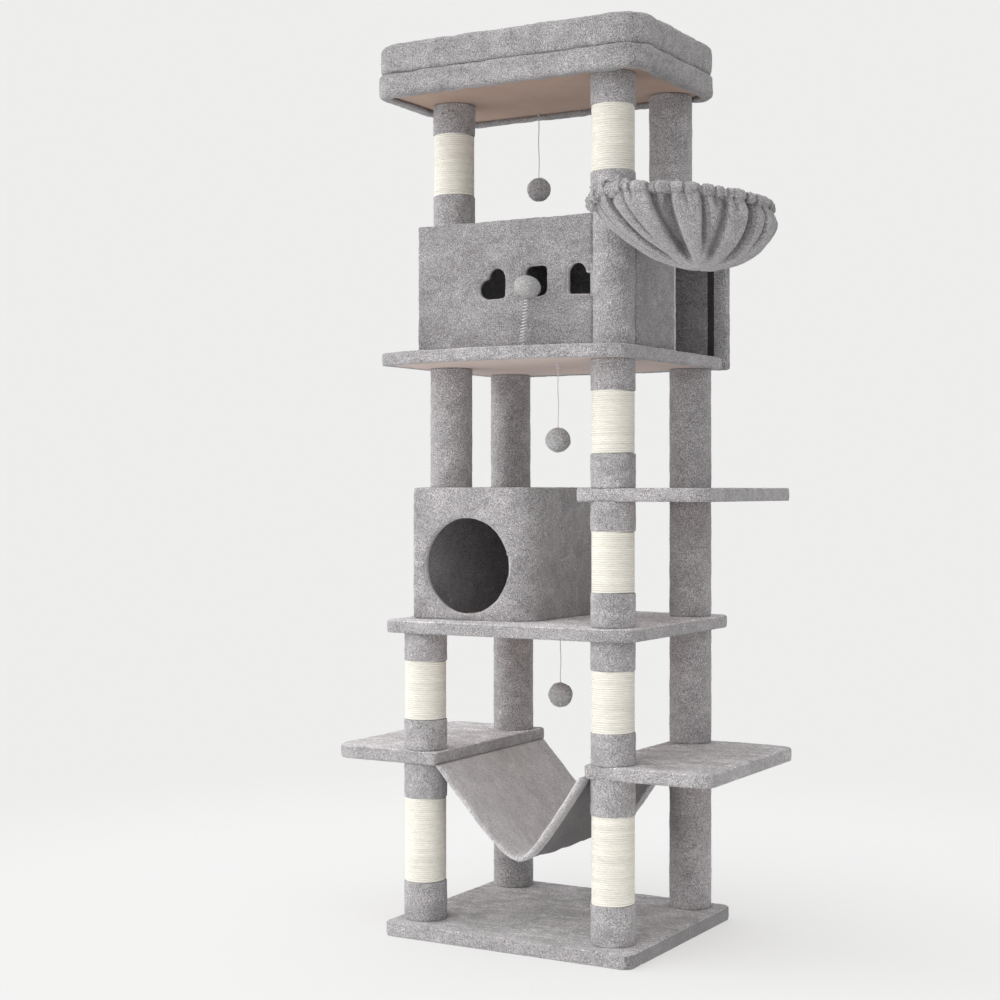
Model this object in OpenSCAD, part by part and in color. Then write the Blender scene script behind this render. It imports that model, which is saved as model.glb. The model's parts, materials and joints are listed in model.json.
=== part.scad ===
// Seven-level cat tree: a base, four columns of posts, shelves, two houses, a hammock, a basket and a top bed.
// Millimetres, +Z up, +Y to the back. The origin is the centre of the base's underside.

/* [Base] */
// Width of the base
base_w = 600; // [560:5:680]
// Depth of the base
base_d = 530; // [500:5:600]
// Height of the base with its cover
base_t = 30; // [26:1:36]

/* [Posts] */
// Outer diameter of a cardboard tube
tube_d = 82; // [78:1:84]
// Wall of a cardboard tube
tube_wall = 5; // [3:0.5:8]
// Diameter over a plush sleeve
sleeve_d = 94; // [90:1:94]
// Diameter over the wound sisal
sisal_d = 90; // [86:1:92]
// Centre of the right-hand posts
post_right = 222; // [215:1:226]
// Centre of the left-hand posts
post_left = -239; // [-245:1:-232]
// Centre of the front posts
post_front = -183; // [-190:1:-180]
// Centre of the back posts
post_back = 208; // [200:1:212]

/* [Levels] */
// Height of the first storey's posts
storey_1 = 345; // [320:5:380]
// Height of the second storey's posts
storey_2 = 258; // [240:2:280]
// Height of the third storey's posts, beside the lower house
storey_3 = 262; // [250:2:280]
// Height of the fourth storey's posts
storey_4 = 269; // [260:1:290]
// Height of the upper house
house_2_h = 273; // [260:1:290]
// Height of the posts that carry the bed from the upper house
storey_5 = 293; // [280:1:310]
// Thickness of a shelf with its cover
shelf_t = 27; // [24:1:30]

/* [Fabric and walls] */
// Thickness of the plush on boards and walls
plush = 4; // [3:0.5:5]
// Thickness of a house's wall boards
wall = 12; // [9:1:15]

/* [Basket] */
// Radius of the basket's steel hoop
hoop_r = 171; // [160:1:180]
// Depth of the basket below its hoop
basket_depth = 126; // [110:2:150]

/* [Toys] */
// Diameter of a pompom
pompom_d = 54; // [44:1:60]
// Diameter of a pompom's string
string_d = 2; // [1.5:0.1:2.5]

/* [Hidden] */
$fn = 64;
grey = "#9a9998";
sisal_colour = "#e6dfc9";
board_colour = "#b79c88";
card_colour = "#b39a74";
steel = "#b8b8ba";

// Heights of the undersides and tops of the levels
z_shelf_1 = base_t + storey_1;
z_floor_2 = z_shelf_1 + shelf_t + storey_2;
z_perch = z_floor_2 + shelf_t + storey_3;
z_floor_4 = z_perch + shelf_t + storey_4;
z_roof_1 = z_perch + shelf_t;
z_roof_2 = z_floor_4 + shelf_t + house_2_h;
z_bed = z_roof_2 + storey_5;

// A flat outline: [left, right, front, back, corner radii from the front left anticlockwise, bow of the front]
base_plan = [-base_w / 2, base_w / 2, -base_d / 2, base_d / 2, [25, 25, 25, 25], 0];
left_shelf_plan = [-456, -181, -235, 265, [55, 14, 14, 60], 0];
right_shelf_plan = [172, 459, -228, 257, [14, 38, 42, 14], 0];
floor_2_plan = [-318, 284, -240, 296, [30, 34, 30, 30], 0];
perch_plan = [152, 455, -228, 250, [20, 38, 40, 20], 0];
floor_4_plan = [-313, 285, -264, 250, [26, 34, 4, 4], 42];
bed_plan = [-320, 323, -270, 128, [48, 48, 48, 48], 0];

// Posts of each storey: [x, y, bottom, top, sisal's lower end, sisal's upper end]; no sisal where both ends are 0
front_left = [post_left, post_front];
front_right = [post_right, post_front];
back_left = [post_left, post_back];
back_right = [post_right, post_back];
set_back = 108; // how far the upper left front posts stand behind the lower ones
upper_left = [post_left, post_front + set_back];
upper_back = [post_left - 2, post_back - 10];
top_left = [post_left + 4, post_front + set_back + 6];
top_right = [post_right + 10, 80];
POSTS = [
    [for (p = [front_left, front_right]) [p.x, p.y, base_t, z_shelf_1, 114, 297],
     for (p = [back_left, back_right]) [p.x, p.y, base_t, z_shelf_1, 0, 0]],
    [for (p = [front_left, front_right]) [p.x, p.y, z_shelf_1 + shelf_t, z_floor_2, 469, 597],
     for (p = [back_left, back_right]) [p.x, p.y, z_shelf_1 + shelf_t, z_floor_2, 0, 0]],
    [[front_right.x, front_right.y, z_floor_2 + shelf_t, z_perch, 759, 886],
     [back_right.x, back_right.y, z_floor_2 + shelf_t, z_perch, 0, 0]],
    [[front_right.x, front_right.y, z_roof_1, z_floor_4, 1048, 1178],
     for (p = [back_right, upper_left, upper_back]) [p.x, p.y, z_roof_1, z_floor_4, 0, 0]],
    [[front_right.x, front_right.y, z_floor_4 + shelf_t, z_bed, 1633, 1770],
     [top_left.x, top_left.y, z_roof_2, z_bed, 1633, 1770],
     [top_right.x, top_right.y, z_roof_2, z_bed, 0, 0]]];
plug_t = 16;
stud_r = 4;
nut_t = 3;
board_t = shelf_t - plush;

// Studs that join a post to the next one: [x, y, underside of the board between them]
through = [for (p = [front_left, back_left]) [p.x, p.y, z_shelf_1],
    for (p = [front_right, back_right], z = [z_shelf_1, z_floor_2, z_perch]) [p.x, p.y, z],
    [front_right.x, front_right.y, z_floor_4]];
// Studs that end in a tee nut on top of the board above the post
ended_above = [for (p = [front_left, back_left]) [p.x, p.y, z_floor_2],
    for (p = [upper_left, upper_back, back_right]) [p.x, p.y, z_floor_4],
    for (p = [front_right, top_left, top_right]) [p.x, p.y, z_bed]];
// Studs that end in a tee nut under the roof below the post: [x, y, top of the roof]. The top left post stands
// over the upper house's side wall, so its lower stud is off the post's axis, clear of that wall.
ended_below = [for (p = [upper_left, upper_back]) [p.x, p.y, z_roof_1],
    for (p = [top_left + [29, 0], top_right]) [p.x, p.y, z_roof_2]];

// Houses: [left, right, front, back, bottom, top]
house_1 = [-281, 10, -170, 250, z_floor_2 + shelf_t, z_roof_1];
house_1_round = 62;
door_x = -143.5;
door_z = 806;
door_r = 106;
house_2 = [-233, 270, -223, 250, z_floor_4 + shelf_t, z_roof_2];
house_2_back_right = 293;
back_wall_t = 18;
entrance_y = 24;
window_z = 1379;
heart = 45;
square_window = [30, 88];

hammock_t = 8;
hammock_low = [22, 188];
hammock_y = [-235, 250];
hammock_round = 40;

bed_board_t = 14;
bed_edge = 10;
band_z = [z_bed - 11, z_bed + 40];
bolster_z = [z_bed + 40, z_bed + 102];
bolster_w = 58;
cushion_t = 38;

basket = [427, -288];
rim_z = 1540;
rim_r = 10;
rim_tilt = 5.3;
rim_low_side = 30; // the rim sags, and the bag hangs out, towards this angle from +X
hoop_wire_r = 3;
bag_t = 5;
basket_angle = atan2(basket.y - post_front, basket.x - post_right);
basket_reach = norm([basket.x - post_right, basket.y - post_front]);
saddle_t = 2.7;
saddle_h = 36;

// Pompoms: [x, y, underside of the board it hangs from, height of the ball's centre]
toys = [[-110, 100, z_bed, 1664], [53, -110, z_floor_4, 1080], [0, 0, z_floor_2, 516]];
eye_r = 5;
eye_wire = 1;
hook_drop = 2 * eye_r + 1.4;
string_step = 6;
spring_foot = [45, -255, z_floor_4 + shelf_t];
spring_ball_centre = [62, -262, 1396];
spring_lift = 5;
spring_r = 6.5;
spring_wire = 1.1;
spring_turns = 15;
spring_ball_r = 26;

function arc(cx, cy, r, a0, n = 8) = [for (i = [0:n]) let (a = a0 + 90 * i / n) [cx + r * cos(a), cy + r * sin(a)]];
function bowed(p, n = 12) = p[5] == 0 ? [] :
    [for (i = [1:n - 1]) let (t = 2 * i / n - 1)
        [(p[0] + p[1]) / 2 + t * ((p[1] - p[0]) / 2 - p[4][0]), p[2] - p[5] * (1 - t * t)]];
function outline(p) = concat(
    arc(p[0] + p[4][0], p[2] + p[4][0], p[4][0], 180), bowed(p),
    arc(p[1] - p[4][1], p[2] + p[4][1], p[4][1], 270),
    arc(p[1] - p[4][2], p[3] - p[4][2], p[4][2], 0),
    arc(p[0] + p[4][3], p[3] - p[4][3], p[4][3], 90));
function inset(p, d) = [p[0] + d, p[1] - d, p[2] + d, p[3] - d, [for (r = p[4]) max(r - d, 2)], p[5]];

module slab(plan, z0, z1) translate([0, 0, z0]) linear_extrude(z1 - z0) polygon(outline(plan));
module box(x0, x1, y0, y1, z0, z1) translate([x0, y0, z0]) cube([x1 - x0, y1 - y0, z1 - z0]);
module pin(x, y, z0, z1, r) translate([x, y, z0]) cylinder(h = z1 - z0, r = r);
module pipe(x, y, z0, z1, r_out, r_in) translate([x, y, z0])
    rotate_extrude() translate([r_in, 0]) square([r_out - r_in, z1 - z0]);

// Studs, tee nuts and bolts; the boards are drilled with the same shapes
module studs_through(r) for (s = through) pin(s.x, s.y, s.z - plug_t, s.z + shelf_t + plug_t, r);
module studs_above(r) for (s = ended_above) pin(s.x, s.y, s.z - plug_t, s.z + stud_end(s), r);
module studs_below(r) for (s = ended_below) pin(s.x, s.y, s.z - plush - wall, s.z + plug_t, r);
function stud_end(s) = s.z == z_bed ? bed_board_t : board_t;
module nuts(r) {
    for (s = ended_above) pin(s.x, s.y, s.z + stud_end(s) - nut_t, s.z + stud_end(s), r);
    for (s = ended_below) pin(s.x, s.y, s.z - plush - wall, s.z - plush - wall + nut_t, r);
}
module bolts_at_base(r, head_r) for (p = [front_left, front_right, back_left, back_right]) {
    pin(p.x, p.y, 3, base_t + plug_t, r);
    pin(p.x, p.y, head_r > 10 ? -1 : 3, 8, head_r);
}
module drilled() {
    studs_through(stud_r);
    studs_above(stud_r);
    studs_below(stud_r);
    nuts(11);
    bolts_at_base(stud_r, 11);
}
module board(plan, z, t) difference() {
    slab(inset(plan, plush), z, z + t);
    drilled();
    screws();
}
module cover(plan, z0, z, t) difference() {
    slab(plan, z0, z + t + plush);
    slab(inset(plan, plush), z0 - 1, z + t);
    studs_through(stud_r);
    bolts_at_base(stud_r, 8);
}

module base_board() color(board_colour) board(base_plan, 0, base_t - plush);
module base_cover() color(grey) cover(base_plan, 2, 0, base_t - plush);
module base_bolts() color(steel) bolts_at_base(stud_r, 9);
module left_shelf_board() color(board_colour) board(left_shelf_plan, z_shelf_1, board_t);
module left_shelf_cover() color(grey) cover(left_shelf_plan, z_shelf_1, z_shelf_1, board_t);
module right_shelf_board() color(board_colour) board(right_shelf_plan, z_shelf_1, board_t);
module right_shelf_cover() color(grey) cover(right_shelf_plan, z_shelf_1, z_shelf_1, board_t);
module floor_2_board() color(board_colour) board(floor_2_plan, z_floor_2, board_t);
module floor_2_cover() color(grey) cover(floor_2_plan, z_floor_2, z_floor_2, board_t);
module perch_board() color(board_colour) board(perch_plan, z_perch, board_t);
module perch_cover() color(grey) cover(perch_plan, z_perch, z_perch, board_t);
module floor_4_board() color(board_colour) board(floor_4_plan, z_floor_4, board_t);
module floor_4_cover() color(grey) cover(floor_4_plan, z_floor_4, z_floor_4, board_t);

// Post sections
module tubes(storey) color(card_colour) for (p = POSTS[storey - 1]) difference() {
    pipe(p[0], p[1], p[2], p[3], tube_d / 2, tube_d / 2 - tube_wall);
    basket_screws();
}
module sleeves(storey) color(grey) for (p = POSTS[storey - 1]) difference() {
    union() {
        if (p[4] == 0) pipe(p[0], p[1], p[2], p[3], sleeve_d / 2, tube_d / 2);
        if (p[4] != 0) pipe(p[0], p[1], p[2], p[4], sleeve_d / 2, tube_d / 2);
        if (p[4] != 0) pipe(p[0], p[1], p[5], p[3], sleeve_d / 2, tube_d / 2);
    }
    basket_screws();
}
module sisal(storey) color(sisal_colour) for (p = POSTS[storey - 1])
    if (p[4] != 0) pipe(p[0], p[1], p[4], p[5], sisal_d / 2, tube_d / 2);
module end_plugs() color(board_colour) difference() {
    for (storey = POSTS, p = storey, z = [p[2], p[3] - plug_t])
        pin(p[0], p[1], z, z + plug_t, tube_d / 2 - tube_wall);
    studs_through(stud_r);
    studs_above(stud_r);
    studs_below(stud_r);
    bolts_at_base(stud_r, stud_r);
}
module studs() color(steel) {
    studs_through(stud_r);
    studs_above(stud_r);
    studs_below(stud_r);
    nuts(11);
}

// Lower house: flat front, left and back boards, and a right board bent round the front corner
module house_drilled() {
    studs_below(stud_r);
    nuts(11);
}
module house_1_plan(d) {
    h = house_1;
    polygon(outline([h[0] + d, h[1] - d, h[2] + d, h[3] - d, [6, house_1_round - d, 6, 6], 0]));
}
house_1_top = house_1[5] - plush - wall;
module house_1_walls() translate([0, 0, house_1[4]]) linear_extrude(house_1_top - house_1[4]) difference() {
    house_1_plan(plush);
    house_1_plan(plush + wall);
}
module door(y0, y1) translate([door_x, y0, door_z]) rotate([-90, 0, 0]) cylinder(h = y1 - y0, r = door_r);
house_1_split = house_1[1] - house_1_round;
front_1_y = house_1[2] + plush + wall;
back_1_y = house_1[3] - plush - wall;
module house_1_front() color(grey) difference() {
    intersection() {
        house_1_walls();
        box(-400, house_1_split, -300, front_1_y, 0, 2000);
    }
    door(-200, -100);
}
module house_1_right() color(grey) difference() {
    intersection() {
        house_1_walls();
        box(house_1_split, 100, -300, back_1_y, 0, 2000);
    }
    door(-200, -100);
}
module house_1_back() color(grey) intersection() {
    house_1_walls();
    box(-400, 100, back_1_y, 300, 0, 2000);
}
module house_1_left() color(grey) intersection() {
    house_1_walls();
    box(-400, house_1[0] + plush + wall, front_1_y, back_1_y, 0, 2000);
}
module house_1_roof() color(board_colour) difference() {
    translate([0, 0, house_1_top]) linear_extrude(wall) house_1_plan(plush);
    house_drilled();
}
module house_1_cover() color(grey) difference() {
    translate([0, 0, house_1[4]]) linear_extrude(house_1[5] - house_1[4]) house_1_plan(0);
    translate([0, 0, house_1[4] - 1]) linear_extrude(house_1_top + wall - house_1[4] + 1) house_1_plan(plush);
    door(-200, -150);
    studs_below(stud_r);
}

// Upper house: the tall front right post stands in its notched corner, and its right side is open at the back
house_2_top = house_2[5] - plush - wall;
module corner_post() {
    pin(post_right, post_front, 0, 2000, sleeve_d / 2 + 0.3);
    box(post_right, post_right + 100, post_front - 100, post_front, 0, 2000);
}
module heart_window(x, side) translate([x, -300, window_z]) rotate([-90, 0, 0]) mirror([0, 1, 0])
    linear_extrude(120) mirror([side, 0]) {
        square(heart);
        translate([heart, heart / 2]) circle(d = heart);
        translate([heart / 2, heart]) circle(d = heart);
    }
module square_hole() translate([0, -300, 0]) rotate([90, 0, 0]) mirror([0, 0, 1]) linear_extrude(120)
    polygon(outline([square_window[0], square_window[1], window_z + 1, window_z + 67, [14, 14, 14, 14], 0]));
module windows() {
    heart_window(-15, 1);
    square_hole();
    heart_window(134, 0);
    box(134 + heart, 205, -300, -180, window_z, window_z + heart);
}
module house_2_front() color(grey) difference() {
    box(house_2[0] + plush, 215, house_2[2] + plush, house_2[2] + plush + wall, house_2[4], house_2_top);
    windows();
    corner_post();
}
module house_2_left() color(grey)
    box(house_2[0] + plush, house_2[0] + plush + wall, house_2[2] + plush + wall, house_2[3], house_2[4], house_2_top);
module house_2_right() color(grey) difference() {
    box(house_2[1] - plush - wall, house_2[1] - plush, post_front, entrance_y - plush, house_2[4], house_2_top);
    corner_post();
}
module house_2_back() color(grey)
    box(house_2[0] + plush, house_2_back_right - plush, house_2[3] + 1, house_2[3] + back_wall_t - plush,
        z_floor_4, house_2[5] - plush);
module house_2_roof() color(board_colour) difference() {
    box(house_2[0] + plush, house_2[1] - plush, house_2[2] + plush, house_2[3], house_2_top, house_2[5] - plush);
    corner_post();
    house_drilled();
}
module house_2_cover() color(grey) difference() {
    union() {
        box(house_2[0], house_2[1], house_2[2], house_2[3] + 1, house_2[4], house_2[5]);
        box(house_2[0], house_2_back_right, house_2[3], house_2[3] + back_wall_t, z_floor_4, house_2[5]);
    }
    box(house_2[0] + plush, house_2[1] - plush, house_2[2] + plush, house_2[3] + 1, z_floor_4 - 1,
        house_2[5] - plush);
    box(house_2[0] + plush, house_2_back_right - plush, house_2[3] + 1, house_2[3] + back_wall_t - plush,
        z_floor_4 - 1, house_2[5] - plush);
    box(house_2[1] - plush - 1, house_2[1] + 1, entrance_y, house_2[3], z_floor_4, house_2_top);
    box(house_2[0] - 1, house_2[1] + plush, house_2[3] - 1, house_2[3] + 1, z_floor_4 - 1, house_2[4]);
    windows();
    corner_post();
    studs_below(stud_r);
}

// Hammock: one sling between the inner edges of the first shelves, with a narrow flange screwed under each
hammock_x = [left_shelf_plan[1] - 3, right_shelf_plan[0] + 2];
hammock_edge = 9;
hammock_steps = 36;
flange_y = [-128, 156];
function sag(x, x0, x1, low) = let (end = x < hammock_low.x ? x0 : x1, rise = z_shelf_1 - low,
    t = (x - hammock_low.x) / (end - hammock_low.x), c = hammock_round / rise)
    low + rise * (sqrt(t * t + c * c) - c) / (sqrt(1 + c * c) - c);
function sling(x0, x1, low) = [for (i = [0:hammock_steps]) let (x = x0 + (x1 - x0) * i / hammock_steps)
    [x, sag(x, x0, x1, low)]];
function reversed(list) = [for (i = [len(list) - 1:-1:0]) list[i]];
module hammock() color(grey) {
    translate([0, hammock_y[1], 0]) rotate([90, 0, 0]) linear_extrude(hammock_y[1] - hammock_y[0])
        polygon(concat(sling(hammock_x[0], hammock_x[1], hammock_low.y), reversed(sling(
            hammock_x[0] + hammock_edge, hammock_x[1] - hammock_edge, hammock_low.y + hammock_t))));
    difference() {
        for (x = [[hammock_x[0] - 9, hammock_x[0] + 2], [hammock_x[1] - 2, hammock_x[1] + 9]])
            box(x[0], x[1], flange_y[0], flange_y[1], z_shelf_1 - 3, z_shelf_1);
        hammock_screws();
    }
}
// Screws of the hammock's flanges, and of the basket's bracket
module hammock_screws() for (x = [hammock_x[0] - 5, hammock_x[1] + 4], y = [-112, 12, 138]) {
    pin(x, y, z_shelf_1 - 5, z_shelf_1 + 12, 1.5);
    pin(x, y, z_shelf_1 - 5, z_shelf_1 - 3, 3.5);
}
saddle_z = rim_z + hoop_r * sin(rim_tilt) * cos(basket_angle - rim_low_side);
module at_basket_side() translate([post_right, post_front, saddle_z]) rotate([0, 0, basket_angle]) children();
module at_rim() translate([basket.x, basket.y, rim_z]) rotate([0, rim_tilt, rim_low_side]) children();
module basket_screws() at_basket_side() for (dz = [-13, 13]) translate([tube_d / 2 - tube_wall, 0, dz])
    rotate([0, 90, 0]) cylinder(h = sleeve_d / 2 + saddle_t + 1.5 - tube_d / 2 + tube_wall, r = 2);
module basket_screw_heads() at_basket_side() for (dz = [-13, 13])
    translate([sleeve_d / 2 + saddle_t + 0.3, 0, dz]) rotate([0, 90, 0]) cylinder(h = 1.5, r = 3.8);
module screws() color(steel) {
    hammock_screws();
    basket_screws();
    basket_screw_heads();
}

// Bed: a board, a plush roll round its edge, a padded bolster on the roll and a cushion
module bed_board() color(board_colour) difference() {
    slab(inset(bed_plan, bed_edge), z_bed, z_bed + bed_board_t);
    drilled();
}
module bed_band() color(grey) difference() {
    slab(inset(bed_plan, -5), band_z[0], band_z[1]);
    slab(inset(bed_plan, bed_edge), z_bed, z_bed + bed_board_t);
    slab(inset(bed_plan, bed_edge + 14), band_z[0] - 1, z_bed + 1);
    slab(inset(bed_plan, bed_edge + 14), z_bed, band_z[1] + 1);
    for (p = POSTS[4]) pin(p[0], p[1], band_z[0] - 1, z_bed + 1, sleeve_d / 2 + 0.5);
}
module bed_bolster() color(grey) difference() {
    slab(bed_plan, bolster_z[0], bolster_z[1]);
    slab(inset(bed_plan, bolster_w), bolster_z[0] - 1, bolster_z[1] + 1);
}
module bed_cushion() color(grey) slab(inset(bed_plan, bed_edge + 15), z_bed + bed_board_t, z_bed + cushion_t);

// Basket: a hoop in the rim of a bag, held by a saddle bracket on the tall post
module hoop_ring(r, sides) at_rim() rotate_extrude($fn = 72) translate([hoop_r, 0]) circle(r = r, $fn = sides);
module basket_hoop() color(steel) hoop_ring(hoop_wire_r, 64);
module lugs(r) at_basket_side() for (y = [-14, 14])
    translate([sleeve_d / 2 - 0.5, y, 0]) rotate([0, 90, 0])
        cylinder(h = basket_reach - hoop_r - sleeve_d / 2 + 1, r = r);
module basket_bracket() color(steel) difference() {
    union() {
        at_basket_side() translate([0, 0, -saddle_h / 2]) rotate([0, 0, -36]) rotate_extrude(angle = 58)
            translate([sleeve_d / 2, 0]) square([saddle_t, saddle_h]);
        lugs(3);
    }
    basket_screws();
    basket_screw_heads();
    basket_hoop();
}
bag_r_top = hoop_r + rim_r - bag_t;
bag_steps = 12;
bag_lean = 44; // how far the bag's bottom hangs out from the hoop's axis
function bag_side(r, depth) = [for (i = [0:bag_steps]) let (a = 90 * i / bag_steps)
    [r * pow(cos(a), 1.08), -depth * pow(sin(a), 1.1)]];
module leaning_bag() multmatrix([[1, 0, -bag_lean / basket_depth, 0], [0, 1, 0, 0], [0, 0, 1, 0]])
    rotate_extrude($fn = 72) polygon(concat(bag_side(bag_r_top + bag_t, basket_depth),
        reversed(bag_side(bag_r_top, basket_depth - bag_t))));
module basket_bag() color(grey) difference() {
    union() {
        at_rim() leaning_bag();
        hoop_ring(rim_r, 14);
    }
    hoop_ring(hoop_wire_r + 0.4, 13);
    lugs(3.4, $fn = 24);
    pin(post_right, post_front, 1400, 1700, sleeve_d / 2 + saddle_t + 0.3);
}

// Toys: screw eyes, strings, pompoms and a ball on a coil spring
function along(path, n) = [for (i = [0:n]) let (t = i / n * (len(path) - 1), k = min(floor(t), len(path) - 2))
    path[k] + (t - k) * (path[k + 1] - path[k])];
function unit(v) = v / norm(v);
function ring(c, d, r, sides) = let (
    a = unit(abs(d.z) > 0.9 ? cross(d, [1, 0, 0]) : cross(d, [0, 0, 1])), b = cross(d, a))
    [for (i = [0:sides - 1]) c + r * (cos(360 * i / sides) * a + sin(360 * i / sides) * b)];
module tube(points, r, sides = 8) {
    n = len(points);
    rings = [for (i = [0:n - 1])
        let (d = unit(points[min(i + 1, n - 1)] - points[max(i - 1, 0)])) ring(points[i], d, r, sides)];
    polyhedron([for (q = rings, p = q) p], concat(
        [[for (i = [0:sides - 1]) i], [for (i = [sides - 1:-1:0]) (n - 1) * sides + i]],
        [for (k = [0:n - 2], i = [0:sides - 1]) let (j = (i + 1) % sides)
            [k * sides + i, (k + 1) * sides + i, (k + 1) * sides + j, k * sides + j]]));
}
module toy_anchors() color(steel) {
    for (t = toys) translate([t.x, t.y, t.z]) {
        translate([0, 0, -2]) cylinder(h = 2, r = 3, $fn = 24);
        translate([0, 0, eye_r - hook_drop]) rotate([90, 0, 0]) rotate_extrude($fn = 32)
            translate([eye_r - eye_wire, 0]) circle(r = eye_wire, $fn = 16);
    }
    translate(spring_foot) {
        cylinder(h = 1.2, r = 9);
        cylinder(h = spring_lift, r = 2);
    }
}
module toy_string(n) color("white") {
    t = toys[n - 1];
    route = [[t.x, t.y, t.z - hook_drop - 1.3], [t.x, t.y, t[3] + pompom_d / 2 - 0.5]];
    tube(along(route, ceil((route[0].z - route[1].z) / string_step)), string_d / 2);
}
module pompom(n) color(grey) difference() {
    translate([toys[n - 1].x, toys[n - 1].y, toys[n - 1][3]]) sphere(d = pompom_d);
    toy_string(n);
}
module toy_spring() color("#d6d6d4") {
    start = spring_foot + [0, 0, spring_lift + spring_wire];
    lean = spring_ball_centre - (spring_ball_r + spring_wire) * [0, 0, 1] - start;
    steps = 12 * spring_turns;
    tube([for (i = [0:steps]) let (t = i / steps, a = 360 * spring_turns * t)
        start + t * lean + spring_r * [cos(a), sin(a), 0]], spring_wire, 6);
}
module spring_ball() color("#d6d6d4") translate(spring_ball_centre) sphere(r = spring_ball_r);

base_board();
base_cover();
base_bolts();
left_shelf_board();
left_shelf_cover();
right_shelf_board();
right_shelf_cover();
hammock();
screws();
floor_2_board();
floor_2_cover();
perch_board();
perch_cover();
floor_4_board();
floor_4_cover();
tubes(1);  // tubes_1
tubes(2);  // tubes_2
tubes(3);  // tubes_3
tubes(4);  // tubes_4
tubes(5);  // tubes_5
sleeves(1);  // sleeves_1
sleeves(2);  // sleeves_2
sleeves(3);  // sleeves_3
sleeves(4);  // sleeves_4
sleeves(5);  // sleeves_5
sisal(1);  // sisal_1
sisal(2);  // sisal_2
sisal(3);  // sisal_3
sisal(4);  // sisal_4
sisal(5);  // sisal_5
end_plugs();
studs();
house_1_front();
house_1_right();
house_1_back();
house_1_left();
house_1_roof();
house_1_cover();
house_2_front();
house_2_right();
house_2_back();
house_2_left();
house_2_roof();
house_2_cover();
bed_board();
bed_band();
bed_bolster();
bed_cushion();
basket_hoop();
basket_bracket();
basket_bag();
toy_anchors();
toy_string(1);  // toy_string_1
toy_string(2);  // toy_string_2
toy_string(3);  // toy_string_3
pompom(1);  // pompom_1
pompom(2);  // pompom_2
pompom(3);  // pompom_3
toy_spring();
spring_ball();
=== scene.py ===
"""Looks of the cat tree: plush, sisal, cloth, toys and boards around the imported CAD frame."""

import json
import math

import bmesh
import bpy
import numpy as np
from mathutils import Matrix, Vector
from mathutils.kdtree import KDTree


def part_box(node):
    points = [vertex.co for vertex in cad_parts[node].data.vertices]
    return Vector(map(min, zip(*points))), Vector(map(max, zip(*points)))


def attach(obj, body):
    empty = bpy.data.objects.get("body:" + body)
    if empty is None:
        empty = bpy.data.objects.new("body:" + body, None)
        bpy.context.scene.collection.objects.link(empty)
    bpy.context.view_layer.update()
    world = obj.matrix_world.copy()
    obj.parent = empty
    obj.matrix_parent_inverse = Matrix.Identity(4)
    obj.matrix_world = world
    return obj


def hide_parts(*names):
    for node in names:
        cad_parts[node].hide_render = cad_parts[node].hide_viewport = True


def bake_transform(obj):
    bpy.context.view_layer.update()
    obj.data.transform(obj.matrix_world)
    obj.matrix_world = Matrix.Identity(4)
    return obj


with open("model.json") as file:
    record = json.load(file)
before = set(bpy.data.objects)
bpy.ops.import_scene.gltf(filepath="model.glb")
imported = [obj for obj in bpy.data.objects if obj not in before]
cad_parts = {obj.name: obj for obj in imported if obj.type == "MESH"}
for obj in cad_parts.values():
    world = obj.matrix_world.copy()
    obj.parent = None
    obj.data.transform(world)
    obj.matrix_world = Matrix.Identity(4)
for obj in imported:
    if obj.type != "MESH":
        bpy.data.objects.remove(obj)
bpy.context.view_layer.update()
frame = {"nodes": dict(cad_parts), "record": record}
MM = 0.001

# Camera at the photograph's viewing angle
CAMERA_AT = (1.919, -3.582, 0.9763)
CAMERA_AZIMUTH = 30.08
SENSOR_WIDTH = 36.0
FOCAL_PER_SENSOR = 1.8234
SHIFT_Y = -0.012


def new_object(name, data):
    obj = bpy.data.objects.new(name, data)
    bpy.context.scene.collection.objects.link(obj)
    return obj


def add_camera():
    data = bpy.data.cameras.new("camera")
    data.sensor_width = SENSOR_WIDTH
    data.lens = FOCAL_PER_SENSOR * SENSOR_WIDTH
    data.shift_y = SHIFT_Y
    data.clip_end = 60
    camera = new_object("camera", data)
    camera.location = CAMERA_AT
    camera.rotation_euler = (math.radians(90), 0, math.radians(CAMERA_AZIMUTH))
    bpy.context.scene.camera = camera


# Numbers from a fixed hash, so each run is the same

MIXERS = (374761393, 668265263, 1440662683, 1274126177)
BITS_24, BITS_32 = 0xFFFFFF, 0xFFFFFFFF


def lattice(i, seed):
    """A hashed number from -1 to 1 for each row of three whole numbers."""
    h = i[:, 0] * MIXERS[0] + i[:, 1] * MIXERS[1] + i[:, 2] * MIXERS[2] + seed * MIXERS[3]
    h = h & BITS_32
    h = ((h ^ (h >> 13)) * MIXERS[3]) & BITS_32
    return ((h ^ (h >> 16)) & BITS_24) / BITS_24 * 2 - 1


def noise(points, size, seed=0):
    """Smooth noise from -1 to 1 with cells of that size, one number or one for each axis."""
    p = points / size + 500.5
    cell = np.floor(p).astype(np.int64)
    f = p - cell
    f = f * f * (3 - 2 * f)
    total = 0
    for corner in range(8):
        step = np.array([corner & 1, corner >> 1 & 1, corner >> 2 & 1])
        weight = np.prod(np.where(step == 1, f, 1 - f), axis=1)
        total = total + weight * lattice(cell + step, seed)
    return total


# Mesh helpers


def coordinates(mesh):
    flat = np.empty(len(mesh.vertices) * 3)
    mesh.vertices.foreach_get("co", flat)
    return flat.reshape(-1, 3)


def normals(mesh):
    flat = np.empty(len(mesh.vertices) * 3)
    mesh.vertex_normals.foreach_get("vector", flat)
    return flat.reshape(-1, 3)


def move_to(mesh, points):
    mesh.vertices.foreach_set("co", points.ravel())
    mesh.update()


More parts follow.
